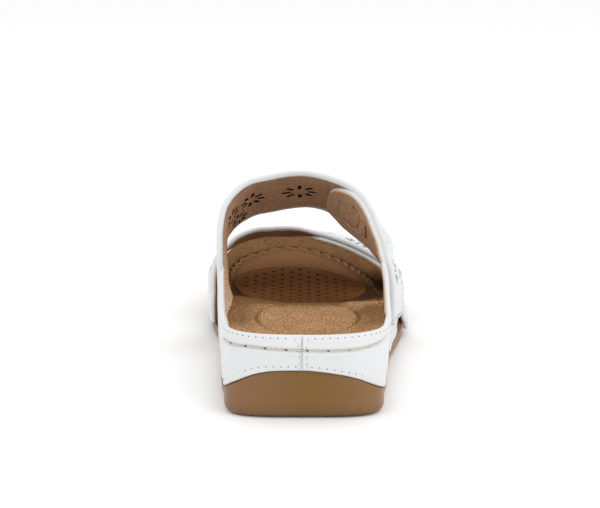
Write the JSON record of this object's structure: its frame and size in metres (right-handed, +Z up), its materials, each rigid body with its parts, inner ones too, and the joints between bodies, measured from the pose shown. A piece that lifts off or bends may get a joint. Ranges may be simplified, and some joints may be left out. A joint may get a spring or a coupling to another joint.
{
  "type": "sandal",
  "caption": "Slip-on comfort sandal with an open heel and toe, wide lapped instep and toe straps, a cupped suede footbed and a gum rubber outsole.",
  "frame": {"origin": "centre of the bounding box on the plane the outsole stands on", "axes": "+Z up, +Y from heel to toe, +X to the wearer's right, which is the outer side of this right shoe"},
  "size_m": [0.098, 0.2586, 0.0849],
  "materials": {
    "gum_rubber": "matte, fine tread",
    "tan_suede": "suede nap",
    "rim_suede": "coarse suede nap",
    "white_leather": "smooth, satin"
  },
  "bodies": {
    "root": {"outsole": "gum_rubber", "footbed": "tan_suede", "toe_rim": "rim_suede", "upper": "white_leather", "toe_strap": "white_leather"}
  },
  "joints": []
}
